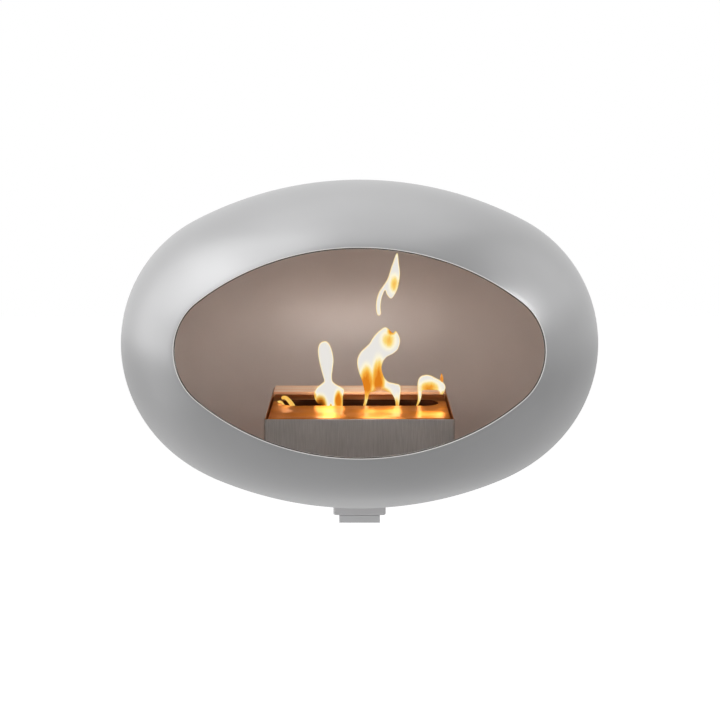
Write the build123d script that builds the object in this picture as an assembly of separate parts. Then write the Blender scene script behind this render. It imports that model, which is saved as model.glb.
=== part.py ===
from build123d import *
from build123d.topology import SkipClean
import math
import os

# Wall-mounted dome fireplace with a liquid-fuel burner.
# Origin: centre of the four wall-screw holes, on the wall plate's back face.
# Axes: +Z up, +X to the viewer's right, the wall is the plane Y = 0 and the mouth faces -Y.

# Dome: two dished ends, each a shallow crown running into a knuckle
dome_half_width = 287.5
dome_half_height = 195.0
knuckle_radius = 165.0
shell_wall = 3.0
wall_gap = 30.0
# the knuckle is turned from this many arcs, its front apart from the rest, which keeps its facets few
knuckle_arcs = 4
belt_front_sweep = 110.0

# Mouth: an oval of arcs, cut along a line that tips slightly upward, edges square to the sheet
mouth_half_width = 202.0
mouth_half_height = 111.5
mouth_end_radius = 66.0
mouth_tilt = 7.0
mouth_drop = 4.5

# Wall plate
plate_width = 120.0
plate_height = 220.0
plate_thickness = 6.0
plate_corner = 12.0
wall_hole_radius = 4.5
wall_holes_width = 84.0
wall_holes_height = 180.0

# Arm and its two ribs
arm_width = 50.0
arm_thickness = 10.0
arm_reach_past_axis = 25.0
arm_edge_break = 1.0
rib_thickness = 6.0
rib_length = 70.0
rib_height = 110.0
rib_nose = 12.0
rib_edge_inset = 4.0

# Swivel: spindle in a flanged bush, with a stop pin running in a curved groove
spindle_radius = 10.0
spindle_press_depth = 12.0
spindle_end_gap = 0.5
spindle_neck_depth = 2.0
spindle_neck_side_gap = 0.3
spindle_lead_in = 0.8
bush_wall = 2.0
bush_flange_width = 8.45
bush_flange_thickness = 1.5
running_clearance = 0.05
swivel_gap = 0.1
swivel_limit = 60.0
stop_pin_radius = 2.5
stop_pin_flange_gap = 2.2
stop_pin_hold = 2.9
stop_pin_end_gap = 1.1
stop_clearance = 0.3
lock_screw_radius = 2.5
lock_screw_hex = 2.5
lock_screw_hex_depth = 2.5
lock_screw_inset = 1.0
lock_tip_gap = 0.2

# Foot block under the dome and the disc on the dome's floor
foot_size = 64.0
foot_height = 16.0
foot_corner = 4.0
foot_edge_break = 1.0
disc_radius = 60.0
disc_middle_thickness = 5.0
seat_gap = 0.2

# Cap screws through bridge, disc, shell and foot
screw_radius = 3.0
screw_spacing = 44.0
screw_head_radius = 5.0
screw_head_height = 6.0
screw_hex = 5.0
screw_hex_depth = 3.0
screw_bite = 8.0
screw_end_gap = 1.0
screw_hole_clearance = 0.25
thread_clearance = 0.05

# Folded bridge that carries the tray
bridge_sheet = 2.0
bridge_base_width = 80.0
bridge_flange_width = 24.0
bridge_depth = 90.0
bridge_bend = 3.0

# Spill tray
tray_sheet = 1.5
tray_lip_height = 8.0
tray_corner = 4.0
tray_clearance = 0.8
tray_rivet_radius = 2.4
rivet_head_radius = 4.5
rivet_head_height = 1.2
rivet_edge_distance = 12.0
drop_in_gap = 0.2

# Burner casing
burner_width = 222.0
burner_depth = 198.0
burner_height = 60.0
burner_drop = 77.0
casing_sheet = 1.5
casing_corner = 2.5

# Top plate with the flame slot
top_side_gap = 2.5
top_front_gap = 6.0
top_back_gap = 1.0
top_sheet = 1.5
top_recess = 0.4
top_flange_height = 8.0
top_bend = 2.0
slot_end_gap = 3.3
slot_width = 37.0
slot_centre = 0.5
slot_neck_wall = 1.2
slot_neck_depth = 7.0

# Fuel tank, the block of wool in it and the board under it
tank_side_gap = 6.5
tank_depth = 120.0
tank_height = 42.0
tank_sheet = 1.5
tank_corner = 6.0
wool_height = 22.0
wool_side_gap = 0.4
board_margin = 15.0
board_gap = 0.3
spacer_radius = 5.0
spacer_side_inset = 10.0
spacer_front_inset = 12.0
spacer_hole_clearance = 0.3
tank_screw_radius = 2.0
tank_screw_head_radius = 3.8
tank_screw_head_height = 2.4
tank_screw_slot = 1.0
tray_screw_hole_clearance = 1.2

# Damper lid
lid_depth = 45.0
lid_sheet = 1.2
lid_height = 3.4
lid_back_gap = 0.8
lid_slide_gap = 0.3
lid_side_clearance = 0.3
lid_flange_drop = 5.0
lid_bend = 1.0
lid_bead_width = 5.0
lid_bead_depth = 0.6
lid_bead_places = (14.0, 31.0)

# How far a cutting shape runs past the face that it opens
overcut = 1.0

# Widths and radii of pieces that fit each other, worked out from the sizes above
rib_spacing = arm_width - 2 * rib_edge_inset - rib_thickness
bush_bore_radius = spindle_radius + running_clearance
bush_radius = bush_bore_radius + bush_wall
bush_flange_radius = bush_radius + bush_flange_width
spindle_neck_radius = spindle_radius - spindle_neck_depth
spindle_neck_width = 2 * (lock_screw_radius + spindle_neck_side_gap)
stop_circle_radius = bush_flange_radius + stop_pin_flange_gap + stop_pin_radius
stop_groove_depth = stop_pin_hold + stop_pin_end_gap
casing_inner_width = burner_width - 2 * casing_sheet
casing_inner_depth = burner_depth - 2 * casing_sheet
top_plate_width = casing_inner_width - 2 * top_side_gap
tank_width = casing_inner_width - 2 * tank_side_gap
slot_length = tank_width - 2 * (tank_sheet + slot_end_gap + slot_neck_wall)
spacer_across = tank_width - 2 * spacer_side_inset
spacer_deep = tank_depth - 2 * spacer_front_inset

# Levels and centres worked out from the sizes above
axis_y = -(wall_gap + dome_half_width)
arm_bottom = -plate_height / 2
arm_top = arm_bottom + arm_thickness
foot_bottom = arm_top + bush_flange_thickness + swivel_gap
dome_bottom = foot_bottom + foot_height
dome_z = dome_bottom + dome_half_height
floor_z = dome_bottom + shell_wall
disc_top = floor_z + disc_middle_thickness
burner_top = dome_z - burner_drop
burner_bottom = burner_top - burner_height
tray_top = burner_bottom - drop_in_gap
tray_bottom = tray_top - tray_sheet
bridge_height = tray_bottom - disc_top
top_plate_top = burner_top - top_recess
tank_top = top_plate_top - top_sheet
tank_bottom = tank_top - tank_height
casing_floor = burner_bottom + casing_sheet
knuckle_centre = dome_half_width - knuckle_radius
crown_radius = (
    knuckle_centre**2 + dome_half_height**2 - knuckle_radius**2
) / (2 * (dome_half_height - knuckle_radius))
crown_centre = crown_radius - dome_half_height
meeting_angle = math.atan2(crown_centre, knuckle_centre)


def at_axis(z=0.0, x=0.0, y=0.0):
    """Place something at a height, measured from the dome's upright axis."""
    return Location((x, axis_y + y, z))


def belt_section(inset, arc_count):
    """Half section of the dome between its crowns, its knuckle drawn in a number of arcs."""
    radius = knuckle_radius - inset

    def on_knuckle(step):
        angle = meeting_angle * (1 - 2 * step / arc_count)
        return (knuckle_centre + radius * math.cos(angle), radius * math.sin(angle))

    arcs = [
        ThreePointArc(on_knuckle(step), on_knuckle(step + 0.5), on_knuckle(step + 1))
        for step in range(arc_count)
    ]
    edge_x, edge_y = on_knuckle(arc_count)
    inner_side = Polyline((edge_x, edge_y), (0, edge_y), (0, -edge_y), (edge_x, -edge_y))
    return Plane.XZ * make_face(Curve() + [*arcs, inner_side])


def crown_ball(inset, side):
    """Ball that an end's crown is part of, its poles level so that the crown's facets stay few."""
    return Location((0, 0, -side * crown_centre), (90, 0, 0)) * Sphere(crown_radius - inset)


def dome_solid(inset):
    """The dome's outline moved inward by inset, about the dome's centre: a belt and two crowns."""
    section = belt_section(inset, knuckle_arcs)
    front = revolve(section, Axis.Z, belt_front_sweep, clean=False)
    back = revolve(section, Axis.Z, 360 - belt_front_sweep, clean=False)
    solid = Rotation(0, 0, -90 - belt_front_sweep / 2) * front
    solid += Rotation(0, 0, -90 + belt_front_sweep / 2) * back
    belt_height = 2 * (knuckle_radius - inset) * math.sin(meeting_angle)
    for side in (-1, 1):
        beyond_belt = Location((0, 0, side * (belt_height + crown_radius) / 2)) * Box(
            2 * crown_radius, 2 * crown_radius, crown_radius
        )
        solid += crown_ball(inset, side) & beyond_belt
    return solid


def mouth_outline():
    """The mouth's oval: two crown arcs and two end arcs that run into each other."""
    end_centre = mouth_half_width - mouth_end_radius
    arc_radius = (
        end_centre**2 + mouth_half_height**2 - mouth_end_radius**2
    ) / (2 * (mouth_half_height - mouth_end_radius))
    arc_centre = arc_radius - mouth_half_height
    meet = math.atan2(arc_centre, end_centre)
    meet_x = end_centre + mouth_end_radius * math.cos(meet)
    meet_y = mouth_end_radius * math.sin(meet)
    with BuildSketch() as outline:
        with BuildLine():
            ThreePointArc((-meet_x, meet_y), (0, mouth_half_height), (meet_x, meet_y))
            ThreePointArc((meet_x, meet_y), (mouth_half_width, 0), (meet_x, -meet_y))
            ThreePointArc((meet_x, -meet_y), (0, -mouth_half_height), (-meet_x, -meet_y))
            ThreePointArc((-meet_x, -meet_y), (-mouth_half_width, 0), (-meet_x, meet_y))
        make_face()
    return outline.sketch


def mouth_plug():
    """The piece of wall that is cut away: a patch of the outer skin, thickened square to the sheet."""
    tilt = math.radians(mouth_tilt)
    forward = (0, -math.cos(tilt), math.sin(tilt))
    upright = (0, math.sin(tilt), math.cos(tilt))
    start = tuple(-mouth_drop * part for part in upright)
    cutting_plane = Plane(origin=start, x_dir=(1, 0, 0), z_dir=forward)
    prism = extrude(cutting_plane * mouth_outline(), amount=2 * dome_half_width)
    belt = revolve(belt_section(0, 1), Axis.Z)
    knuckle_skin = max(belt.faces(), key=lambda face: face.area)
    patch = max((knuckle_skin & prism).faces(), key=lambda face: face.area)
    cut_depth = 2 * shell_wall
    return [Solid.thicken(patch, depth) for depth in (-cut_depth, cut_depth)]


def screw_places(across, deep):
    """Four places at the corners of a rectangle about the dome's axis."""
    return [(sx * across / 2, sy * deep / 2) for sx in (-1, 1) for sy in (-1, 1)]


def hole(radius, low, high, x=0.0, y=0.0):
    """An upright hole between two heights, placed from the dome's axis."""
    return at_axis(low, x, y) * Cylinder(
        radius, high - low, align=(Align.CENTER, Align.CENTER, Align.MIN)
    )


def block(width, depth, low, high, y=0.0):
    """An upright block between two heights, centred on the dome's axis."""
    return at_axis(low, 0, y) * Box(
        width, depth, high - low, align=(Align.CENTER, Align.CENTER, Align.MIN)
    )


def half_shell(side):
    """One pressed end, welded to the other along its level edge, with its part of the mouth."""
    reach = dome_half_width + overcut
    with SkipClean():
        shell = dome_solid(0) - dome_solid(shell_wall)
        shell &= Location((0, 0, side * reach / 2)) * Box(2 * reach, 2 * reach, reach)
        for plug in mouth_plug():
            shell -= plug
    return at_axis(dome_z) * shell


def make_upper_shell():
    """Upper pressed end, a plain dish but for the mouth."""
    return half_shell(1)


def make_lower_shell():
    """Lower pressed end, with the four foot-screw holes in its crown."""
    shell = half_shell(-1)
    with SkipClean():
        for x, y in screw_places(screw_spacing, screw_spacing):
            radius = screw_radius + screw_hole_clearance
            shell -= hole(radius, dome_bottom - foot_height, disc_top, x, y)
    return shell


def make_wall_plate():
    """Back plate with rounded corners and four screw holes."""
    plate = Box(
        plate_width, plate_thickness, plate_height, align=(Align.CENTER, Align.MAX, Align.CENTER)
    )
    plate = fillet(plate.edges().filter_by(Axis.Y), plate_corner)
    for x in (-wall_holes_width / 2, wall_holes_width / 2):
        for z in (-wall_holes_height / 2, wall_holes_height / 2):
            plate -= Location((x, -plate_thickness / 2, z), (90, 0, 0)) * Cylinder(
                wall_hole_radius, 2 * plate_thickness
            )
    return plate


def make_bracket_arm():
    """Flat bar from the wall plate to just past the dome's axis, bored for the bush."""
    length = -axis_y - plate_thickness + arm_reach_past_axis
    arm = Location((0, -plate_thickness, arm_bottom)) * Box(
        arm_width, length, arm_thickness, align=(Align.CENTER, Align.MAX, Align.MIN)
    )
    front = arm.faces().sort_by(Axis.Y)[0]
    arm = chamfer(front.edges(), arm_edge_break)
    arm -= hole(bush_radius, arm_bottom - overcut, arm_top + overcut)
    arm -= hole(stop_pin_radius, arm_bottom - overcut, arm_top + overcut, y=stop_circle_radius)
    arm -= lock_bore(lock_screw_radius)
    return arm


def lock_bore(radius):
    """Level bore from the arm's right edge to the spindle."""
    return at_axis(arm_bottom + arm_thickness / 2) * (
        Rotation(0, 90, 0)
        * Cylinder(radius, arm_width, align=(Align.CENTER, Align.CENTER, Align.MIN))
    )


def make_arm_gussets():
    """Two ribs that stand on the arm against the wall plate."""
    outline = Polyline(
        (-plate_thickness, arm_top),
        (-plate_thickness - rib_length, arm_top),
        (-plate_thickness - rib_length, arm_top + rib_nose),
        (-plate_thickness - rib_nose, arm_top + rib_height),
        (-plate_thickness, arm_top + rib_height),
        close=True,
    )
    rib = extrude(Plane.YZ * make_face(outline), rib_thickness / 2, both=True)
    return [Location((side * rib_spacing / 2, 0, 0)) * rib for side in (-1, 1)]


def make_swivel_bush():
    """Flanged bush: the sleeve fills the arm's bore and the flange lies on the arm."""
    bush = hole(bush_radius, arm_bottom, arm_top)
    bush += hole(bush_flange_radius, arm_top, arm_top + bush_flange_thickness)
    bush -= hole(bush_bore_radius, arm_bottom - overcut, foot_bottom + overcut)
    bush -= lock_bore(lock_screw_radius)
    return bush


def make_stop_pin():
    """Pin pressed in the arm behind the bush, its head standing in the foot's groove."""
    pin = hole(stop_pin_radius, arm_bottom, foot_bottom + stop_pin_hold, y=stop_circle_radius)
    return chamfer(pin.edges().sort_by(Axis.Z)[-1], stop_pin_radius / 5)


def make_lock_screw():
    """Grub screw from the arm's edge into the spindle's neck."""
    tip = spindle_neck_radius + lock_tip_gap
    length = arm_width / 2 - lock_screw_inset - tip
    screw = Cylinder(lock_screw_radius, length, align=(Align.CENTER, Align.CENTER, Align.MIN))
    screw = chamfer(screw.edges().sort_by(Axis.Z)[0], lock_screw_radius / 5)
    socket = extrude(
        RegularPolygon(lock_screw_hex / 2, 6, major_radius=False), lock_screw_hex_depth
    )
    screw -= Location((0, 0, length - lock_screw_hex_depth)) * socket
    return at_axis(arm_bottom + arm_thickness / 2, tip) * (Rotation(0, 90, 0) * screw)


def make_swivel_foot():
    """Square block whose top is dished to the dome, with the curved stop groove underneath."""
    foot = block(foot_size, foot_size, foot_bottom, dome_z)
    foot = fillet(foot.edges().filter_by(Axis.Z), foot_corner)
    foot = chamfer(foot.faces().sort_by(Axis.Z)[0].edges(), foot_edge_break)
    foot -= at_axis(dome_z) * crown_ball(-seat_gap, -1)
    foot -= hole(spindle_radius, foot_bottom - overcut, foot_bottom + spindle_press_depth)
    for x, y in screw_places(screw_spacing, screw_spacing):
        radius = screw_radius + thread_clearance
        foot -= hole(radius, dome_bottom - screw_bite - screw_end_gap, dome_z, x, y)
    groove_half = stop_pin_radius + stop_clearance
    sweep = swivel_limit + math.degrees(math.asin(groove_half / stop_circle_radius))
    ring = Circle(stop_circle_radius + groove_half) - Circle(stop_circle_radius - groove_half)
    groove = ring & sector(sweep, 2 * foot_size)
    foot -= at_axis(foot_bottom) * extrude(groove, stop_groove_depth)
    return foot


def sector(sweep, reach):
    """Flat wedge about the origin, open by sweep degrees on both sides of the +Y direction."""
    points = [(0, 0)]
    steps = 4
    for step in range(steps + 1):
        angle = math.radians(90 - sweep + 2 * sweep * step / steps)
        points.append((reach * math.cos(angle), reach * math.sin(angle)))
    return make_face(Polyline(*points, close=True))


def make_spindle():
    """Shaft pressed in the foot, with a neck for the lock screw and a broken lower edge."""
    low = arm_bottom + spindle_end_gap
    spindle = hole(spindle_radius, low, foot_bottom + spindle_press_depth)
    spindle = chamfer(spindle.edges().sort_by(Axis.Z)[0], spindle_lead_in)
    middle = arm_bottom + arm_thickness / 2
    half_width = spindle_neck_width / 2
    neck = hole(spindle_radius + overcut, middle - half_width, middle + half_width)
    neck -= hole(spindle_neck_radius, middle - spindle_neck_width, middle + spindle_neck_width)
    return spindle - neck


def make_base_disc():
    """Disc with a flat top, its underside turned to the dome's floor."""
    disc = hole(disc_radius, dome_bottom, disc_top)
    disc &= at_axis(dome_z) * crown_ball(shell_wall + seat_gap, -1)
    for x, y in screw_places(screw_spacing, screw_spacing):
        disc -= hole(screw_radius + screw_hole_clearance, dome_bottom, disc_top + overcut, x, y)
    return disc


def make_tray_bridge():
    """Top-hat section folded from sheet: base, two webs and two flanges."""
    base = bridge_base_width / 2
    out = base + bridge_flange_width - bridge_sheet
    path = FilletPolyline(
        (-out, bridge_height - bridge_sheet / 2),
        (-base + bridge_sheet / 2, bridge_height - bridge_sheet / 2),
        (-base + bridge_sheet / 2, bridge_sheet / 2),
        (base - bridge_sheet / 2, bridge_sheet / 2),
        (base - bridge_sheet / 2, bridge_height - bridge_sheet / 2),
        (out, bridge_height - bridge_sheet / 2),
        radius=bridge_bend,
    )
    section = make_face(offset(path, bridge_sheet / 2, kind=Kind.INTERSECTION, side=Side.BOTH))
    bridge = at_axis(disc_top) * extrude(Plane.XZ * section, bridge_depth / 2, both=True)
    for x, y in screw_places(screw_spacing, screw_spacing):
        radius = screw_radius + screw_hole_clearance
        bridge -= hole(radius, disc_top - overcut, disc_top + bridge_sheet + overcut, x, y)
    flange_bottom = tray_bottom - bridge_sheet
    for x, y in rivet_places():
        bridge -= hole(tray_rivet_radius, flange_bottom - overcut, tray_bottom + overcut, x, y)
    return bridge


def rivet_places():
    """Two rivets through each flange of the bridge."""
    across = bridge_base_width + bridge_flange_width - bridge_sheet
    return screw_places(across, bridge_depth - 2 * rivet_edge_distance)


def make_spill_tray():
    """Shallow folded tray that the burner drops into."""
    inner_width = burner_width + 2 * tray_clearance
    inner_depth = burner_depth + 2 * tray_clearance
    top = tray_top + tray_lip_height
    outer = block(inner_width + 2 * tray_sheet, inner_depth + 2 * tray_sheet, tray_bottom, top)
    outer = fillet(outer.edges().filter_by(Axis.Z), tray_corner)
    inner = block(inner_width, inner_depth, tray_top, top + overcut)
    inner = fillet(inner.edges().filter_by(Axis.Z), tray_corner - tray_sheet)
    tray = outer - inner
    for x, y in rivet_places():
        tray -= hole(tray_rivet_radius, tray_bottom - overcut, tray_top + overcut, x, y)
    for x, y in screw_places(spacer_across, spacer_deep):
        radius = tank_screw_head_radius + tray_screw_hole_clearance
        tray -= hole(radius, tray_bottom - overcut, tray_top + overcut, x, y)
    return tray


def make_tray_rivets():
    """Four flat rivets, head down under the flanges and flush in the tray."""
    low = tray_bottom - bridge_sheet
    rivets = []
    for x, y in rivet_places():
        rivet = hole(tray_rivet_radius, low, tray_top, x, y)
        rivet += hole(rivet_head_radius, low - rivet_head_height, low, x, y)
        rivets.append(rivet)
    return rivets


def make_dome_screws():
    """Four hexagon-socket cap screws that clamp bridge, disc, shell and foot."""
    seat = disc_top + bridge_sheet
    tip = dome_bottom - screw_bite
    screws = []
    for x, y in screw_places(screw_spacing, screw_spacing):
        screw = hole(screw_radius, tip, seat, x, y)
        screw += hole(screw_head_radius, seat, seat + screw_head_height, x, y)
        socket = extrude(RegularPolygon(screw_hex / 2, 6, major_radius=False), screw_hex_depth)
        screw -= at_axis(seat + screw_head_height - screw_hex_depth, x, y) * socket
        screws.append(screw)
    return screws


def open_box(width, depth, low, high, sheet, corner):
    """Sheet box open at the top, with rounded upright corners."""
    outer = block(width, depth, low, high)
    outer = fillet(outer.edges().filter_by(Axis.Z), corner)
    inner = block(width - 2 * sheet, depth - 2 * sheet, low + sheet, high + overcut)
    inner = fillet(inner.edges().filter_by(Axis.Z), corner - sheet)
    return outer - inner


def make_burner_casing():
    """Outer box of brushed sheet, with four screw holes in its floor."""
    casing = open_box(
        burner_width, burner_depth, burner_bottom, burner_top, casing_sheet, casing_corner
    )
    for x, y in screw_places(spacer_across, spacer_deep):
        radius = tank_screw_radius + spacer_hole_clearance
        casing -= hole(radius, burner_bottom - overcut, casing_floor + overcut, x, y)
    return casing


def make_insulation_board():
    """Ceramic board that fills the space between the casing's floor and the tank."""
    depth = tank_depth + 2 * board_margin
    board = block(tank_width, depth, casing_floor, tank_bottom - board_gap)
    for x, y in screw_places(spacer_across, spacer_deep):
        radius = spacer_radius + spacer_hole_clearance
        board -= hole(radius, casing_floor - overcut, tank_bottom, x, y)
    return board


def make_tank_spacers():
    """Four sleeves that carry the tank over the casing's floor."""
    spacers = []
    for x, y in screw_places(spacer_across, spacer_deep):
        spacer = hole(spacer_radius, casing_floor, tank_bottom, x, y)
        bore = tank_screw_radius + spacer_hole_clearance
        spacer -= hole(bore, casing_floor - overcut, tank_bottom + overcut, x, y)
        spacers.append(spacer)
    return spacers


def make_tank_screws():
    """Four pan-head screws from below, through the sleeves into the tank's floor."""
    screws = []
    for x, y in screw_places(spacer_across, spacer_deep):
        screw = hole(tank_screw_radius, burner_bottom, tank_bottom + tank_sheet, x, y)
        screw += hole(
            tank_screw_head_radius, burner_bottom - tank_screw_head_height, burner_bottom, x, y
        )
        slot = at_axis(burner_bottom - tank_screw_head_height, x, y) * Box(
            2 * tank_screw_head_radius, tank_screw_slot, tank_screw_slot
        )
        screws.append(screw - slot)
    return screws


def make_fuel_tank():
    """Inner tank, open at the top, closed by the top plate."""
    tank = open_box(tank_width, tank_depth, tank_bottom, tank_top, tank_sheet, tank_corner)
    for x, y in screw_places(spacer_across, spacer_deep):
        radius = tank_screw_radius + thread_clearance
        tank -= hole(radius, tank_bottom - overcut, tank_bottom + tank_sheet + overcut, x, y)
    return tank


def make_ceramic_wool():
    """Block of absorbent wool on the tank's floor."""
    width = tank_width - 2 * tank_sheet - 2 * wool_side_gap
    depth = tank_depth - 2 * tank_sheet - 2 * wool_side_gap
    low = tank_bottom + tank_sheet + wool_side_gap
    wool = block(width, depth, low, low + wool_height)
    return fillet(wool.edges().filter_by(Axis.Z), tank_corner - tank_sheet)


def slot_outline(grow):
    """The flame slot's outline, enlarged all round by grow."""
    return SlotOverall(slot_length + 2 * grow, slot_width + 2 * grow)


def make_top_plate():
    """Plate with folded edges and a flame slot whose neck turns down into the tank."""
    depth = casing_inner_depth - top_front_gap - top_back_gap
    shift = (top_front_gap - top_back_gap) / 2
    low = top_plate_top - top_flange_height
    plate = block(top_plate_width, depth, low, top_plate_top, shift)
    upper_edges = plate.faces().sort_by(Axis.Z)[-1].edges()
    plate = fillet(plate.edges().filter_by(Axis.Z) + upper_edges, top_bend)
    inside_width = top_plate_width - 2 * top_sheet
    plate -= block(inside_width, depth - 2 * top_sheet, low - overcut, tank_top, shift)
    neck_low = top_plate_top - slot_neck_depth
    neck = at_axis(neck_low, 0, slot_centre) * extrude(
        slot_outline(slot_neck_wall), slot_neck_depth - top_sheet
    )
    plate += neck
    plate -= at_axis(neck_low - overcut, 0, slot_centre) * extrude(
        slot_outline(0), slot_neck_depth + 2 * overcut
    )
    return plate


def make_damper_lid():
    """Shallow inverted tray with two pressed beads, its side flanges hanging in the side gaps."""
    inner_width = top_plate_width + 2 * lid_side_clearance
    outer_width = inner_width + 2 * lid_sheet
    back = casing_inner_depth / 2 - lid_back_gap
    front = back - lid_depth
    middle = (front + back) / 2
    top = top_plate_top + lid_height
    rest = top_plate_top + lid_slide_gap
    low = top_plate_top - lid_flange_drop
    lid = block(outer_width, lid_depth, low, top, middle)
    lid = fillet(lid.faces().sort_by(Axis.Z)[-1].edges(), lid_bend)
    lid -= block(inner_width, lid_depth + 2 * overcut, low - overcut, rest, middle)
    lid -= block(inner_width, lid_depth - 2 * lid_sheet, rest - overcut, top - lid_sheet, middle)
    for place in lid_bead_places:
        lid = press_bead(lid, front + place, top, inner_width / 2)
    return lid


def press_bead(lid, y, top, half_length):
    """A shallow V-shaped bead across the lid, pressed down without thinning the sheet."""
    half = lid_bead_width / 2
    dip = Polyline((-half, 0), (0, -lid_bead_depth), (half, 0), close=True)
    wedge = extrude(Plane.YZ * make_face(dip), half_length - lid_bend, both=True)
    lid += at_axis(top - lid_sheet, 0, y) * wedge
    lid -= at_axis(top, 0, y) * wedge
    return lid


pieces = {
    "wall_plate": make_wall_plate,
    "bracket_arm": make_bracket_arm,
    "arm_gussets": make_arm_gussets,
    "swivel_bush": make_swivel_bush,
    "stop_pin": make_stop_pin,
    "lock_screw": make_lock_screw,
    "upper_shell": make_upper_shell,
    "lower_shell": make_lower_shell,
    "swivel_foot": make_swivel_foot,
    "spindle": make_spindle,
    "base_disc": make_base_disc,
    "tray_bridge": make_tray_bridge,
    "spill_tray": make_spill_tray,
    "tray_rivets": make_tray_rivets,
    "dome_screws": make_dome_screws,
    "burner_casing": make_burner_casing,
    "insulation_board": make_insulation_board,
    "tank_spacers": make_tank_spacers,
    "tank_screws": make_tank_screws,
    "fuel_tank": make_fuel_tank,
    "ceramic_wool": make_ceramic_wool,
    "top_plate": make_top_plate,
    "damper_lid": make_damper_lid,
}

os.makedirs("parts", exist_ok=True)
for name, make in pieces.items():
    made = make()
    shape = Compound(children=made) if isinstance(made, list) else made
    export_step(shape, f"parts/{name}.step")
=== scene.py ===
import math

import bpy
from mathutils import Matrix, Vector
from mathutils.geometry import delaunay_2d_cdt


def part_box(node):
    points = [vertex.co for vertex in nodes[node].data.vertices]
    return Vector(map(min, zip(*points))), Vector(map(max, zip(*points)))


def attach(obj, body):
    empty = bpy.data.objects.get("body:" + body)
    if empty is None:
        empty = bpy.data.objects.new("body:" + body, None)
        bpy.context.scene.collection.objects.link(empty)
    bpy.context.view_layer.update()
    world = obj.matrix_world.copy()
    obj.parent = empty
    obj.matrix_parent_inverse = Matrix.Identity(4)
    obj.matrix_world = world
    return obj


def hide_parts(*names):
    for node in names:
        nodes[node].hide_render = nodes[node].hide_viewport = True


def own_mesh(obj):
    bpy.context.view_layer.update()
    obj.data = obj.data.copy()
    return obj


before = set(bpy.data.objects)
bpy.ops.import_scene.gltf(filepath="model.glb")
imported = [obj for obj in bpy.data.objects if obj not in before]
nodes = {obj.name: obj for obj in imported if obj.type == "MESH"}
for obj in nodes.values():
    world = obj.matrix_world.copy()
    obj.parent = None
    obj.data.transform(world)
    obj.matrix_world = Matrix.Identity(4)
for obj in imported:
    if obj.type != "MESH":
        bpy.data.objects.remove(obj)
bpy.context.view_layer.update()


# Wall bracket
# Welded mild steel: a screwed back plate, a flat bar that runs under the dome, and two ribs.
# The whole bracket is powder coated in one satin grey, so its edges look a little soft.
CLOUD_MM = 111.0
MM_PER_METRE = 1000


def linear(hex_colour):
    """Turns an sRGB hex colour into the linear colour that shaders take."""
    channels = [int(hex_colour[start:start + 2], 16) / 255 for start in (1, 3, 5)]
    return tuple(
        c / 12.92 if c <= 0.04045 else ((c + 0.055) / 1.055) ** 2.4 for c in channels
    ) + (1.0,)


def per_metre(size_mm):
    """How many marks of a size in millimetres fit in a metre, as a pattern's scale counts them."""
    return MM_PER_METRE / size_mm


def add_node(material, kind, inputs=None, stops=(), **settings):
    """Adds a node to a material or the world, with its settings, colour stops, inputs and links."""
    node = material.node_tree.nodes.new(kind)
    for name, value in settings.items():
        setattr(node, name, value)
    if stops:
        elements = node.color_ramp.elements
        while len(elements) < len(stops):
            elements.new(0.5)
        for element, (position, hex_colour) in zip(elements, stops):
            element.position = position
            element.color = linear(hex_colour)
    for name, value in (inputs or {}).items():
        if isinstance(value, bpy.types.NodeSocket):
            material.node_tree.links.new(value, node.inputs[name])
        else:
            node.inputs[name].default_value = value
    return node


def new_material(name):
    """A material with no nodes yet."""
    material = bpy.data.materials.new(name)
    material.use_nodes = True
    material.node_tree.nodes.clear()
    return material


def powder_coat(name, dark, light, peel_mm, roughness, metallic, coat=0.0):
    """Sprayed coat, cured in an oven: a fine orange-peel skin with a satin sheen, faintly cloudy."""
    material = new_material(name)
    place = add_node(material, "ShaderNodeTexCoord").outputs["Object"]
    peel = add_node(
        material,
        "ShaderNodeTexNoise",
        {"Vector": place, "Scale": per_metre(peel_mm), "Detail": 2.0},
    )
    cloud = add_node(
        material,
        "ShaderNodeTexNoise",
        {"Vector": place, "Scale": per_metre(CLOUD_MM), "Detail": 3.0},
    )
    colour = add_node(
        material,
        "ShaderNodeValToRGB",
        {"Fac": cloud.outputs["Fac"]},
        stops=[(0.3, dark), (0.7, light)],
    )
    bump = add_node(
        material,
        "ShaderNodeBump",
        {"Height": peel.outputs["Fac"], "Strength": 0.08, "Distance": 0.0004},
    )
    surface = add_node(
        material,
        "ShaderNodeBsdfPrincipled",
        {
            "Base Color": colour.outputs["Color"],
            "Metallic": metallic,
            "Roughness": roughness,
            "Coat Weight": coat,
            "Coat Roughness": roughness,
            "Normal": bump.outputs["Normal"],
        },
    )
    add_node(material, "ShaderNodeOutputMaterial", {"Surface": surface.outputs["BSDF"]})
    return material


def dress(material, *names):
    """Gives CAD nodes a finish in place of the plain one they came with."""
    for name in names:
        slots = nodes[name].data.materials
        slots.clear()
        slots.append(material)


# Pale grey coat with a soft, wide highlight.
bracket_coat = powder_coat(
    "powder-coated steel, bracket", "#CDCDCE", "#D5D5D6", peel_mm=1.2, roughness=0.45, metallic=0.5
)
dress(bracket_coat, "wall_plate", "bracket_arm", "arm_gussets")


# Swivel
# A turned bronze bush in the arm, a zinc-plated spindle and stop pin, and a blackened lock screw.
# The dome's weight rests on the bush's flange; the foot block over it is coated like the bracket.
RING_MM = 0.8


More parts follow.
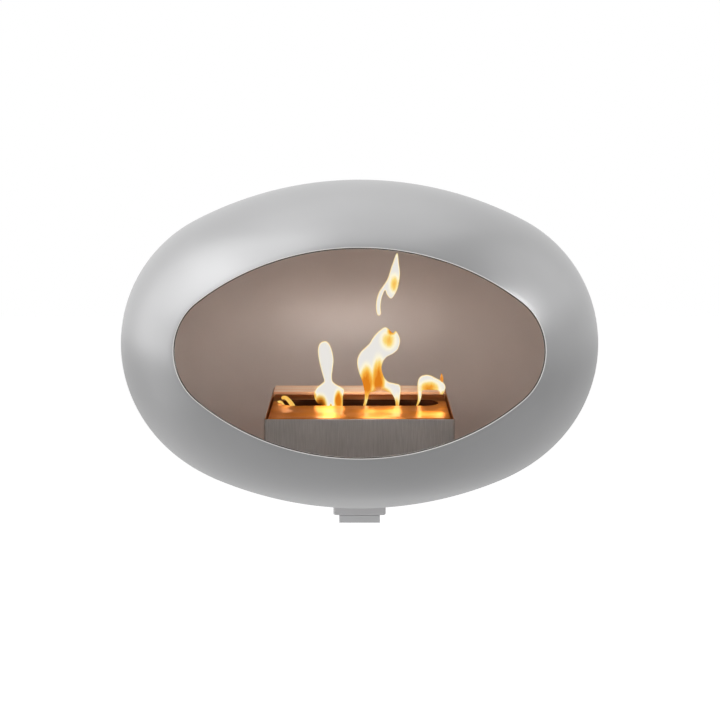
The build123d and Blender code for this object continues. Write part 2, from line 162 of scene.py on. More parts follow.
def turned_metal(name, hex_colour, roughness):
    """Lathe-turned metal: rings that spread the highlight, coarser than real ones so they show."""
    material = new_material(name)
    place = add_node(material, "ShaderNodeTexCoord").outputs["Object"]
    rings = add_node(
        material,
        "ShaderNodeTexWave",
        {"Vector": place, "Scale": per_metre(RING_MM) / math.tau, "Distortion": 0.4, "Detail": 2.0},
        bands_direction="Z",
    )
    bump = add_node(
        material,
        "ShaderNodeBump",
        {"Height": rings.outputs["Fac"], "Strength": 0.15, "Distance": 0.0002},
    )
    surface = add_node(
        material,
        "ShaderNodeBsdfPrincipled",
        {
            "Base Color": linear(hex_colour),
            "Metallic": 1.0,
            "Roughness": roughness,
            "Normal": bump.outputs["Normal"],
        },
    )
    add_node(material, "ShaderNodeOutputMaterial", {"Surface": surface.outputs["BSDF"]})
    return material


# Warm yellow metal, a cool bright plating, black oxide that barely shines, and the bracket's coat.
bush_bronze = turned_metal("turned bearing bronze", "#B08A4E", roughness=0.35)
zinc_steel = turned_metal("bright zinc-plated steel", "#B9BCBE", roughness=0.38)
black_steel = turned_metal("blackened screw steel", "#2A2A2C", roughness=0.5)
foot_coat = powder_coat(
    "powder-coated steel, foot", "#C9C8C9", "#D3D2D3", peel_mm=1.2, roughness=0.45, metallic=0.5
)
dress(bush_bronze, "swivel_bush")
dress(zinc_steel, "spindle", "stop_pin")
dress(black_steel, "lock_screw")
dress(foot_coat, "swivel_foot")


# Dome shell
# Two dished ends pressed from 3 mm steel, welded at the middle and ground flush, with the mouth
# cut square to the sheet and its edges broken. Silver lacquer outside, warm grey lacquer inside.

# Sizes here and below are in metres, as in the frame, where the name doesn't say mm.
HALF_WIDTH = 0.2875
KNUCKLE_RADIUS = 0.165
SHEET = 0.003
EDGE_ROUND = 0.0007
MOUTH_HALF_WIDTH = 0.202
MOUTH_HALF_HEIGHT = 0.1115
MOUTH_END_RADIUS = 0.066
MOUTH_TILT = math.radians(7.0)
MOUTH_DROP = 0.0045
RIM_POINTS = 288
SKIN_RINGS = 96
ROUND_STEPS = 4
HALVINGS = 40
TINY = 1e-12

_, upper_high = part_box("upper_shell")
lower_low, lower_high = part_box("lower_shell")
HALF_HEIGHT = (upper_high.z - lower_low.z) / 2
CENTRE = Vector((0, lower_high.y - HALF_WIDTH, lower_low.z + HALF_HEIGHT))
KNUCKLE_CENTRE = HALF_WIDTH - KNUCKLE_RADIUS
CROWN_RADIUS = (KNUCKLE_CENTRE**2 + HALF_HEIGHT**2 - KNUCKLE_RADIUS**2) / (
    2 * (HALF_HEIGHT - KNUCKLE_RADIUS)
)
CROWN_CENTRE = CROWN_RADIUS - HALF_HEIGHT


def outside_by(point):
    """How far a point lies outside the dome's skin, and the skin's normal there."""
    radius = math.hypot(point.x, point.y)
    height = abs(point.z)
    on_knuckle = height * KNUCKLE_CENTRE < (radius - KNUCKLE_CENTRE) * CROWN_CENTRE
    if on_knuckle:
        across, up, full = radius - KNUCKLE_CENTRE, height, KNUCKLE_RADIUS
    else:
        across, up, full = radius, height + CROWN_CENTRE, CROWN_RADIUS
    length = math.hypot(across, up)
    turn = across / length / max(radius, TINY)
    normal = Vector((point.x * turn, point.y * turn, math.copysign(up / length, point.z)))
    return length - full, normal.normalized()


def skin_point(start, direction):
    """Where a ray from inside the dome meets its skin, and the normal there."""
    near, far = 0.0, 2 * HALF_WIDTH
    for _ in range(HALVINGS):
        middle = (near + far) / 2
        distance, normal = outside_by(start + direction * middle)
        if distance < 0:
            near = middle
        else:
            far = middle
    return start + direction * near, normal


def mouth_point(share):
    """A point of the mouth's oval, in its own plane, at a share of a full turn."""
    end_centre = MOUTH_HALF_WIDTH - MOUTH_END_RADIUS
    arc_radius = (end_centre**2 + MOUTH_HALF_HEIGHT**2 - MOUTH_END_RADIUS**2) / (
        2 * (MOUTH_HALF_HEIGHT - MOUTH_END_RADIUS)
    )
    arc_centre = arc_radius - MOUTH_HALF_HEIGHT
    meet = math.atan2(arc_centre, end_centre)
    end_length = MOUTH_END_RADIUS * meet
    crown_length = arc_radius * (math.pi / 2 - meet)
    along = (share * 4) % 4
    quarter = int(along)
    part = along - quarter
    if quarter % 2:
        part = 1 - part
    walked = part * (end_length + crown_length)
    if walked < end_length:
        angle = walked / MOUTH_END_RADIUS
        x = end_centre + MOUTH_END_RADIUS * math.cos(angle)
        y = MOUTH_END_RADIUS * math.sin(angle)
    else:
        angle = meet + (walked - end_length) / arc_radius
        x = arc_radius * math.cos(angle)
        y = arc_radius * math.sin(angle) - arc_centre
    return (-x if quarter in (1, 2) else x), (-y if quarter in (2, 3) else y)


def mesh_piece(name, points, faces, materials, face_materials=None):
    """A smooth mesh object from points and faces, with one or more materials."""
    mesh = bpy.data.meshes.new(name)
    mesh.from_pydata([tuple(point) for point in points], [], faces)
    for material in materials:
        mesh.materials.append(material)
    if face_materials:
        mesh.polygons.foreach_set("material_index", face_materials)
    mesh.polygons.foreach_set("use_smooth", [True] * len(faces))
    mesh.validate()
    piece = bpy.data.objects.new(name, mesh)
    bpy.context.collection.objects.link(piece)
    return piece


# The rim's section from outside to inside, as how far away from the mouth and how deep in the sheet.
rim_section = []
for step in range(ROUND_STEPS + 1):
    angle = math.pi / 2 * step / ROUND_STEPS
    rim_section.append((EDGE_ROUND * (1 - math.sin(angle)), EDGE_ROUND * (1 - math.cos(angle))))
for step in range(ROUND_STEPS + 1):
    angle = math.pi / 2 * step / ROUND_STEPS
    rim_section.append(
        (EDGE_ROUND * (1 - math.cos(angle)), SHEET - EDGE_ROUND * (1 - math.sin(angle)))
    )

forward = Vector((0, -math.cos(MOUTH_TILT), math.sin(MOUTH_TILT)))
upright = Vector((0, math.sin(MOUTH_TILT), math.cos(MOUTH_TILT)))
back = Vector((0, 1, 0))
rim = []
for step in range(RIM_POINTS):
    x, y = mouth_point(step / RIM_POINTS)
    rim.append(skin_point(Vector((x, 0, 0)) + upright * (y - MOUTH_DROP), forward))

# Rings of points, outside and inside, run from the mouth's edge to the dome's back.
outer_rings = [[] for _ in range(SKIN_RINGS)]
rim_rows = [[] for _ in rim_section]
inner_rings = [[] for _ in range(SKIN_RINGS)]
for step, (edge, normal) in enumerate(rim):
    along = rim[(step + 1) % RIM_POINTS][0] - rim[step - 1][0]
    away = along.cross(normal).normalized()
    if away.dot(forward) > 0:
        away.negate()
    first = (edge + away * EDGE_ROUND).normalized()
    sweep = first.angle(back)
    for ring in range(SKIN_RINGS):
        share = ring / SKIN_RINGS
        direction = (
            first * math.sin((1 - share) * sweep) + back * math.sin(share * sweep)
        ) / math.sin(sweep)
        point, ring_normal = skin_point(Vector((0, 0, 0)), direction)
        outer_rings[ring].append(point)
        inner_rings[ring].append(point - ring_normal * SHEET)
    for row, (back_by, in_by) in enumerate(rim_section):
        rim_rows[row].append(edge + away * back_by - normal * in_by)

OUTSIDE, INSIDE, ROUNDED, CUT = range(4)
rows = outer_rings[:0:-1] + rim_rows + inner_rings[1:]
rim_from = len(outer_rings) - 1
inside_from = rim_from + len(rim_rows) - 1
shell_points = [CENTRE + point for row in rows for point in row]
shell_faces = []
shell_finishes = []
for row in range(len(rows) - 1):
    if row < rim_from:
        finish = OUTSIDE
    elif row == rim_from + ROUND_STEPS:
        finish = CUT
    elif row < inside_from:
        finish = ROUNDED
    else:
        finish = INSIDE
    here, there = row * RIM_POINTS, (row + 1) * RIM_POINTS
    for step in range(RIM_POINTS):
        after = (step + 1) % RIM_POINTS
        shell_faces.append((here + step, there + step, there + after, here + after))
        shell_finishes.append(finish)
for row, depth, finish in ((0, 0.0, OUTSIDE), (len(rows) - 1, SHEET, INSIDE)):
    pole = len(shell_points)
    shell_points.append(CENTRE + back * (HALF_WIDTH - depth))
    for step in range(RIM_POINTS):
        first, second = row * RIM_POINTS + step, row * RIM_POINTS + (step + 1) % RIM_POINTS
        shell_faces.append((pole, first, second) if finish == OUTSIDE else (pole, second, first))
        shell_finishes.append(finish)

# Silver with a broad soft shine under a clear coat, and a warm matt grey that takes the fire's light.
silver_lacquer = powder_coat(
    "silver lacquer on steel",
    "#A2A2A3",
    "#A7A7A8",
    peel_mm=0.9,
    roughness=0.37,
    metallic=0.4,
    coat=0.22,
)
warm_grey_lacquer = powder_coat(
    "warm grey stove lacquer", "#D6CFCC", "#DED7D4", peel_mm=0.9, roughness=0.48, metallic=0.4
)
# Pale rounded broken edges, a painted highlight, round a cut face painted dark as shade, which mirrors
# the room.
# Painted highlight: the rounded edges are coloured near white so they show as bright lines.
painted_highlight_edge = powder_coat(
    "lacquered sheet edge with painted highlight",
    "#E2E0DE",
    "#EAE8E6",
    peel_mm=0.9,
    roughness=0.3,
    metallic=0.6,
    coat=0.4,
)
# Painted shade: the flat cut face is coloured dark grey for the dark line it shows.
painted_shade_face = powder_coat(
    "square-cut sheet face with painted shade", "#4C4947", "#565250", peel_mm=0.9, roughness=0.35, metallic=0.9, coat=0.1
)
shell = mesh_piece(
    "dome_shell_skin",
    shell_points,
    shell_faces,
    [silver_lacquer, warm_grey_lacquer, painted_highlight_edge, painted_shade_face],
    shell_finishes,
)
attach(shell, "dome")
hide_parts("upper_shell", "lower_shell")


# Floor disc and tray bridge
# A stiffening disc and a folded bridge of zinc-plated steel stand on the dome's floor.
# Four black cap screws clamp them through the shell to the foot, and four rivets hold the tray.
dress(zinc_steel, "base_disc", "tray_bridge", "tray_rivets")
dress(black_steel, "dome_screws")


# Spill tray, burner casing and tank
# Boxes folded from thin stainless sheet: tray and tank of rolled sheet, the casing brushed upward.
# The tank stands on sleeves in the casing, whose inside is painted copper: a painted reflection of the
# flames' glow.
ALONG_X = (0.033, 1.0, 1.0)
UPWARD = (1.0, 1.0, 0.04)
STAIN_MM = 45.5
TINT_STARTS = 0.0006
TINT_FULL = 0.001
PAINTED_REFLECTION_COPPER = "#D08448"


def brushed_steel(name, dark, light, roughness, scratch_mm, grain, metallic=1.0, outer=None):
    """Stainless sheet with drawn grain, its scratches drawn coarser than real ones so they show.
    With an outer half width and front, what lies within them is painted copper, a painted reflection
    of the flames' glow."""
    material = new_material(name)
    place = add_node(material, "ShaderNodeTexCoord").outputs["Object"]
    drawn = add_node(material, "ShaderNodeMapping", {"Vector": place, "Scale": grain})
    scratches = add_node(
        material,
        "ShaderNodeTexNoise",
        {"Vector": drawn.outputs["Vector"], "Scale": per_metre(scratch_mm), "Detail": 4.0},
    )
    cloud = add_node(
        material,
        "ShaderNodeTexNoise",
        {"Vector": place, "Scale": per_metre(STAIN_MM), "Detail": 3.0},
    )
    mixed = add_node(
        material,
        "ShaderNodeMix",
        {"Factor": 0.4, "A": scratches.outputs["Fac"], "B": cloud.outputs["Fac"]},
    )
    colour = add_node(
        material,
        "ShaderNodeValToRGB",
        {"Fac": mixed.outputs["Result"]},
        stops=[(0.35, dark), (0.65, light)],
    ).outputs["Color"]
    # Painted reflection: the casing's inside is coloured copper for the flames' glow seen in it.
    if outer:
        half_width, front = outer
        axes = add_node(material, "ShaderNodeSeparateXYZ", {"Vector": place}).outputs
        across = add_node(material, "ShaderNodeMath", {0: axes["X"]}, operation="ABSOLUTE")
        within = add_node(
            material,
            "ShaderNodeMapRange",
            {
                "Value": across.outputs["Value"],
                "From Min": half_width - TINT_STARTS,
                "From Max": half_width - TINT_FULL,
            },
        )
        behind = add_node(
            material,
            "ShaderNodeMapRange",
            {"Value": axes["Y"], "From Min": front + TINT_STARTS, "From Max": front + TINT_FULL},
        )
        inside = add_node(
            material,
            "ShaderNodeMath",
            {0: within.outputs["Result"], 1: behind.outputs["Result"]},
            operation="MINIMUM",
        )
        colour = add_node(
            material,
            "ShaderNodeMix",
            {"Factor": inside.outputs["Value"], "A": colour, "B": linear(PAINTED_REFLECTION_COPPER)},
            data_type="RGBA",
        ).outputs["Result"]
    bump = add_node(
        material,
        "ShaderNodeBump",
        {"Height": scratches.outputs["Fac"], "Strength": 0.12, "Distance": 0.0002},
    )
    surface = add_node(
        material,
        "ShaderNodeBsdfPrincipled",
        {
            "Base Color": colour,
            "Metallic": metallic,
            "Roughness": roughness,
            "Normal": bump.outputs["Normal"],
        },
    )
    add_node(material, "ShaderNodeOutputMaterial", {"Surface": surface.outputs["BSDF"]})
    return material


# Grey with upright streaks and hardly a reflection, as satin brushing leaves it, and painted copper
# inside as a painted reflection of the flames' glow.
casing_low, casing_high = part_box("burner_casing")
burner_steel = brushed_steel(
    "brushed stainless steel",
    "#A8A7A5",
    "#C2C1BF",
    roughness=0.42,
    scratch_mm=0.9,
    grain=UPWARD,
    metallic=0.4,
    outer=(casing_high.x, casing_low.y),
)
# Duller grey metal, and the same turned brown by soot.
tray_steel = brushed_steel(
    "rolled stainless sheet", "#77736F", "#8A8682", roughness=0.4, scratch_mm=1.2, grain=ALONG_X
)
tank_steel = brushed_steel(
    "sooted stainless tank", "#5A4636", "#6E5644", roughness=0.45, scratch_mm=1.2, grain=ALONG_X
)
dress(burner_steel, "burner_casing")
dress(tray_steel, "spill_tray")
dress(tank_steel, "fuel_tank")
dress(zinc_steel, "tank_spacers", "tank_screws")


# Top plate
# Stainless sheet with the flame slot and its turned-down neck, dropped into the casing.
# Heat and the flames' painted glow colour it copper; behind the slot it is painted brown as the lid's
# shadow, and its neck and folds are painted darker as shade.
SLOT_BEHIND_MIDDLE = 0.0005
LID_SHADOW_STARTS = 0.006
LID_SHADOW_FULL = 0.014
LID_SHADOW = "#562614"
SHADE_BELOW_STARTS = 0.0003
SHADE_BELOW_FULL = 0.0015
SHADE_BELOW = "#7E4C30"
EDGE_GLOW = "#F8C99A"
PLATE_SCRATCH_MM = 0.909
PLATE_STAIN_MM = 33.3
BUCKLE_MM = 38.5
BUCKLE_DEPTH = 0.004

_, plate_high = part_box("top_plate")
PLATE_TOP = plate_high.z
SLOT_Y = CENTRE.y + SLOT_BEHIND_MIDDLE


def heated_plate():
    """Polished stainless sheet that heat has coloured and slightly buckled, so reflections wander.
    Its copper is partly painted flame glow, and painted shade darkens it behind the slot and below its
    top.
    Its scratches are drawn coarser than real ones so they show."""
    material = new_material("copper-tinted stainless steel")
    place = add_node(material, "ShaderNodeTexCoord").outputs["Object"]
    drawn = add_node(material, "ShaderNodeMapping", {"Vector": place, "Scale": ALONG_X})
    scratches = add_node(
        material,
        "ShaderNodeTexNoise",
        {"Vector": drawn.outputs["Vector"], "Scale": per_metre(PLATE_SCRATCH_MM), "Detail": 4.0},
    )
    cloud = add_node(
        material,
        "ShaderNodeTexNoise",
        {"Vector": place, "Scale": per_metre(PLATE_STAIN_MM), "Detail": 3.0},
    )
    mixed = add_node(
        material,
        "ShaderNodeMix",
        {"Factor": 0.5, "A": scratches.outputs["Fac"], "B": cloud.outputs["Fac"]},
    )
    # Heat tint and painted flame glow: the copper stands for the flames' light on the plate as well as
    # heat colour.
    copper = add_node(
        material,
        "ShaderNodeValToRGB",
        {"Fac": mixed.outputs["Result"]},
        stops=[(0.35, "#D28238"), (0.65, "#F8B060")],
    )
    axes = add_node(material, "ShaderNodeSeparateXYZ", {"Vector": place}).outputs
    # Painted shadow: behind the slot the plate turns dark brown for the shade of the parked lid.
    behind = add_node(
        material,
        "ShaderNodeMapRange",
        {"Value": axes["Y"], "From Min": SLOT_Y + LID_SHADOW_STARTS, "From Max": SLOT_Y + LID_SHADOW_FULL},
    )
    lid_shadowed = add_node(
        material,
        "ShaderNodeMix",
        {
            "Factor": behind.outputs["Result"],
            "A": copper.outputs["Color"],
            "B": linear(LID_SHADOW),
        },
        data_type="RGBA",
    )
    # Painted shade: the slot's neck and the folds below the top face are coloured darker brown.
    below = add_node(
        material,
        "ShaderNodeMapRange",
        {
            "Value": axes["Z"],
            "From Min": PLATE_TOP - SHADE_BELOW_STARTS,
            "From Max": PLATE_TOP - SHADE_BELOW_FULL,
        },
    )
    shaded_below = add_node(
        material,
        "ShaderNodeMix",
        {"Factor": below.outputs["Result"], "A": lid_shadowed.outputs["Result"], "B": linear(SHADE_BELOW)},
        data_type="RGBA",
    )
    buckle = add_node(
        material,
        "ShaderNodeTexNoise",
        {"Vector": place, "Scale": per_metre(BUCKLE_MM), "Detail": 0.0},
    )
    warped = add_node(
        material,
        "ShaderNodeBump",
        {"Height": buckle.outputs["Fac"], "Strength": 1.0, "Distance": BUCKLE_DEPTH},
    )
    bump = add_node(
        material,
        "ShaderNodeBump",
        {
            "Height": mixed.outputs["Result"],
            "Strength": 0.15,
            "Distance": 0.0003,
            "Normal": warped.outputs["Normal"],
        },
    )
    surface = add_node(
        material,
        "ShaderNodeBsdfPrincipled",
        {
            "Base Color": shaded_below.outputs["Result"],
            "Metallic": 1.0,
            "Roughness": 0.3,
            "Specular Tint": linear(EDGE_GLOW),
            "Coat Weight": 0.1,
            "Coat Roughness": 0.15,
            "Coat Normal": bump.outputs["Normal"],
            "Normal": bump.outputs["Normal"],
        },
    )
    add_node(material, "ShaderNodeOutputMaterial", {"Surface": surface.outputs["BSDF"]})
    return material


dress(heated_plate(), "top_plate")


# Damper lid
# A flat stainless strip that slides forward over the slot, parked behind it here.
# It is straw-coloured by the heat and streaked along its length, and copper at its front edge; the
# straw and copper are also painted glow of the flames.
STREAK_MM = 5.26
ALONG_LID = (0.02, 1.0, 1.0)
LID_TINT_STARTS = 0.003
LID_TINT_FULL = 0.0005
LID_COPPER_GLOW = "#F2B484"
LID_SHEEN = "#FFD8B4"

lid_low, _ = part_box("damper_lid")


def streaked_lid():
    """Oxidised sheet with long pale streaks, its colours partly painted flame glow: more a satin skin
    than a mirror, so not metallic.
    """
    material = new_material("straw-tinted stainless steel with painted flame glow")
    place = add_node(material, "ShaderNodeTexCoord").outputs["Object"]
    drawn = add_node(material, "ShaderNodeMapping", {"Vector": place, "Scale": ALONG_LID})
    streaks = add_node(
        material,
        "ShaderNodeTexNoise",
        {"Vector": drawn.outputs["Vector"], "Scale": per_metre(STREAK_MM), "Detail": 2.0},
    )
    # Heat tint and painted flame glow: the pale straw also stands for the flames' light on the lid.
    straw = add_node(
        material,
        "ShaderNodeValToRGB",
        {"Fac": streaks.outputs["Fac"]},
        stops=[(0.38, "#F2B48A"), (0.6, "#FFEEDC")],
    )
    axes = add_node(material, "ShaderNodeSeparateXYZ", {"Vector": place}).outputs
    # Heat tint and painted flame glow: the front edge, facing the flames, turns copper.
    near_flames = add_node(
        material,
        "ShaderNodeMapRange",
        {
            "Value": axes["Y"],
            "From Min": lid_low.y + LID_TINT_STARTS,
            "From Max": lid_low.y + LID_TINT_FULL,
        },
    )
    tinted = add_node(
        material,
        "ShaderNodeMix",
        {
            "Factor": near_flames.outputs["Result"],
            "A": straw.outputs["Color"],
            "B": linear(LID_COPPER_GLOW),
        },
        data_type="RGBA",
    )
    ridges = add_node(
        material,
        "ShaderNodeBump",
        {"Height": streaks.outputs["Fac"], "Strength": 1.0, "Distance": 0.0015},
    )
    surface = add_node(
        material,
        "ShaderNodeBsdfPrincipled",
        {
            "Base Color": tinted.outputs["Result"],
            "Normal": ridges.outputs["Normal"],
            "Roughness": 0.4,
            "Coat Weight": 0.2,
            "Coat Roughness": 0.3,
            "Sheen Weight": 1.0,
            "Sheen Roughness": 0.5,
            "Sheen Tint": linear(LID_SHEEN),
        },
    )
    add_node(material, "ShaderNodeOutputMaterial", {"Surface": surface.outputs["BSDF"]})
    return material


dress(streaked_lid(), "damper_lid")


# Insulation board and ceramic wool
# Pressed mineral fibre: pale board under the tank, and a block of wool in it that soaks up the fuel.
# The wool is coloured dark brown all over, so the slot looks dark.
def mineral_fibre(name, dark, light, fibre_mm):
    """Matt felted fibre with small pits, which shows no highlight at all."""
    material = new_material(name)
    place = add_node(material, "ShaderNodeTexCoord").outputs["Object"]
    felt = add_node(
        material,
        "ShaderNodeTexNoise",
        {"Vector": place, "Scale": per_metre(fibre_mm), "Detail": 6.0, "Roughness": 0.7},
    )
    colour = add_node(
        material,
        "ShaderNodeValToRGB",
        {"Fac": felt.outputs["Fac"]},
        stops=[(0.3, dark), (0.7, light)],
    )
    bump = add_node(
        material,
        "ShaderNodeBump",
        {"Height": felt.outputs["Fac"], "Strength": 0.6, "Distance": 0.001},
    )
    surface = add_node(
        material,
        "ShaderNodeBsdfPrincipled",
        {
            "Base Color": colour.outputs["Color"],
            "Roughness": 0.95,
            "Normal": bump.outputs["Normal"],
        },
    )
    add_node(material, "ShaderNodeOutputMaterial", {"Surface": surface.outputs["BSDF"]})
    return material


# Off-white and chalky, and the same fibre in dark brown.
ceramic_board = mineral_fibre("pressed ceramic board", "#C9C2B4", "#DDD7CA", fibre_mm=2.0)
dark_brown_wool = mineral_fibre("dark brown ceramic wool", "#3A2A20", "#5E4838", fibre_mm=3.0)
dress(ceramic_board, "insulation_board")
dress(dark_brown_wool, "ceramic_wool")


# Flames
# Burning spirit vapour: white tongues with yellow edges that stand in the slot, amber where thin.
# They ride on the burner.
FLAME_SPACING = 0.00125
OUTLINE_GAP = FLAME_SPACING / 3
FLAME_THICKNESS = 0.006
FLAME_ROUNDING = 0.009
FLAME_EDGE = 0.0015
EDGE_WARMTH = 0.5
FLAME_SWAY = 0.005
SWAY_RADIANS_PER_METRE = 45
LEAN_PER_METRE = 0.04
FLICKER_MM = 3.85
UP_FLAME = (1.0, 1.0, 0.2)
FLAME_LIGHT = "#FFF3E6"
FLAME_POWER = 13
LOW_POWER_SHARE = 0.2
THIN_POWER_SHARE = 0.35
FULL_POWER_HEIGHT = 0.060
CURVE_STEPS = 8
ON_OUTLINE = 1e-6
SAME_POINT = 1e-7
TRIANGLES_INSIDE = 1

# Outlines in mm: across from the burner's middle, and up from the top plate.
spoon_outline = [
    (-42.8, 77.1), (-37.4, 74), (-33.7, 65.1), (-31.9, 54.1), (-32.9, 41.8), (-34, 32.2),
    (-32.6, 25.3), (-25.9, 20.5), (-19.4, 16.4), (-19.1, 12.3), (-20.7, 6.1), (-20.7, -3.5),
    (-22, -4.6), (-28, -5), (-33, -4.8), (-38.5, -4.6), (-45, -3.8), (-50.5, -1.5), (-53.5, 2),
    (-55.2, 5.5), (-55.8, 9), (-55, 12.9), (-52.3, 18.4), (-46.2, 23.2),
    (-43.5, 26.7), (-45.5, 34.9), (-48.9, 48.6), (-50.9, 63.7), (-48.9, 73.3),
]
tall_outline = [
    (30.4, 93.5), (35.8, 91.1), (40.6, 86.6), (44, 89.1), (48, 83.6), (49.4, 76.7), (46.7, 67.1),
    (40.6, 61.6), (33.1, 57.5), (28.4, 50.7), (27, 42.4), (29.7, 32.8), (35.1, 26), (42.6, 23.9),
    (48.7, 21.9), (50.7, 16.4), (50, 8.2), (48.7, -2.8), (48, -4.5), (44.8, -4.5), (44, 1.3),
    (41, 8.2), (36, 12.5), (29, 13.5), (18.2, 13), (12.5, 11), (10.5, 5), (8.8, -1.4), (6.7, -5.6),
    (4.4, -5), (6.2, 2.7), (6.2, 12.3), (3.3, 26), (-0.8, 38.3), (-2.8, 47.9), (-1.9, 57.5),
    (3.3, 65.8), (11.4, 73.3), (16.2, 80.9), (22.3, 87.7),
]
loose_outline = [
    (45.3, 184.6), (47.6, 172), (48.9, 156), (45.7, 139), (39, 128.4), (33.4, 132.6), (31, 138.4),
    (27, 129), (25.7, 118), (26, 108.6), (21.5, 108.6), (20, 121), (23.6, 136), (33.4, 151.6),
    (39, 169),
]
arched_outline = [
    (68, -3.8), (69.7, -2.1), (71.3, 4.6), (71.3, 13.6), (70.8, 22.5), (71.3, 28.2), (74.1, 33.2),
    (80.2, 35.7), (86.8, 34.9), (93.5, 31.5), (99, 28.7), (104, 24.2), (104.9, 19.2),
    (102.9, 13.6), (101.3, 11.3), (98.5, 12.4), (96.8, 16), (93.5, 17), (84.6, 17), (78, 17),
    (76.3, 14.7), (75.7, 8), (73.5, 1.2), (70.8, -3.8), (69.7, -5.5),
]
tip_outline = [(98.5, 30.4), (99.9, 37.7), (101.8, 33.8), (102.4, 28.7), (100.7, 25.9)]
low_outline = [
    (-95.5, 8.2), (-92, 9.6), (-88, 8.2), (-83.5, 4), (-80.5, 0), (-78.5, -3.5), (-78.5, -5),
    (-83.5, -5), (-86, -1.5), (-89, 2.5), (-92, 5.2), (-95, 5),
]
wisp_outline = [
    (-101, 2.2), (-98, 3.6), (-95, 2.6), (-92.5, -0.5), (-90.5, -3.5), (-93, -3), (-96, 0),
    (-99, 0.8),
]

# Thin places in mm: across, up, half width, half height, then how amber and how solid the gas is.
spoon_thin = [
    (-26, 3, 7.5, 18, 1.5, 0.75), (-48, -4, 12, 20, 1.5, 0.0), (-55, 8, 4, 8, 0.8, 0.8),
    (-22, -2, 4, 18, 0.7, 0.9), (-35.3, -4, 2.5, 6, 1.0, 0.8),
]
tall_thin = [
    (35.1, 79, 14, 17, 0.62, 1.0), (38.5, 89, 9, 9, 0.95, 0.95), (8.7, 24, 13, 34, 1.3, 0.92),
    (23, 26, 12, 44, 1.3, 0.88), (25.5, 9, 19, 17, 1.6, 0.0), (6, -6, 5, 28, 0.7, 0.85),
    (46, -6, 6, 24, 0.7, 0.85),
]
loose_thin = [(42, 147, 9, 19, 0.62, 1.0)]
arched_thin = [
    (85, 20, 19, 14, 0.9, 0.9), (87, 13, 15, 8, 1.8, 0.0), (101.8, 12, 6, 9, 0.6, 0.8),
    (71, -5, 6, 32, 0.7, 0.9),
]
tip_thin = [(100, 31, 30, 40, 0.9, 0.7)]
low_thin = [(-88, 2, 90, 90, 0.6, 0.9)]


def smooth_loop(corners):
    """A closed curve through the corners, evenly smooth."""
    points = []
    count = len(corners)
    for index in range(count):
        before, start, end, after = (
            Vector(corners[(index + shift) % count]) for shift in (-1, 0, 1, 2)
        )
        for step in range(CURVE_STEPS):
            t = step / CURVE_STEPS
            points.append(
                0.5
                * (
                    2 * start
                    + (end - before) * t
                    + (2 * before - 5 * start + 4 * end - after) * t**2
                    + (3 * start - before - 3 * end + after) * t**3
                )
            )
    return points


def distance_to_loop(point, loop):
    """The shortest distance from a point to a closed chain of points."""
    best = math.inf
    for index, start in enumerate(loop):
        side = loop[(index + 1) % len(loop)] - start
        share = (point - start).dot(side) / max(side.length_squared, TINY)
        best = min(best, (point - start - side * min(1, max(0, share))).length)
    return best


def is_inside(point, loop):
    """Whether a point lies inside a closed chain of points."""
    inside = False
    for index, start in enumerate(loop):
        end = loop[(index + 1) % len(loop)]
        if (start.y > point.y) != (end.y > point.y):
            crossing = start.x + (point.y - start.y) * (end.x - start.x) / (end.y - start.y)
            inside ^= point.x < crossing
    return inside


def filled_loop(loop):
    """The points of a closed chain, others spread over its inside, and triangles between them."""
    low_x, high_x = min(p.x for p in loop), max(p.x for p in loop)
    low_y, high_y = min(p.y for p in loop), max(p.y for p in loop)
    rows = int((high_y - low_y) / FLAME_SPACING) + 1
    columns = int((high_x - low_x) / FLAME_SPACING) + 1
    flat = list(loop)
    for row in range(rows):
        shift = 0.5 * (row % 2)
        for column in range(columns):
            point = Vector(
                (low_x + (column + shift) * FLAME_SPACING, low_y + row * FLAME_SPACING)
            )
            if is_inside(point, loop) and distance_to_loop(point, loop) > OUTLINE_GAP:
                flat.append(point)
    edges = [(index, (index + 1) % len(loop)) for index in range(len(loop))]
    flat, _, triangles, *_ = delaunay_2d_cdt(flat, edges, [], TRIANGLES_INSIDE, SAME_POINT)
    return flat, triangles


def thin_places_at(point, thin_places):
    """How amber and how solid the gas is at a point, from the thin places round it."""
    amber, solid = 0.0, 1.0
    for across, up, half_width, half_height, most_amber, least_solid in thin_places:
        reach = math.hypot(
            (point.x * MM_PER_METRE - across) / half_width,
            (point.y * MM_PER_METRE - up) / half_height,
        )
        share = max(0.0, 1 - reach)
        share = share * share * (3 - 2 * share)
        amber = max(amber, most_amber * share)
        solid = min(solid, 1 - (1 - least_solid) * share)
    return amber, solid


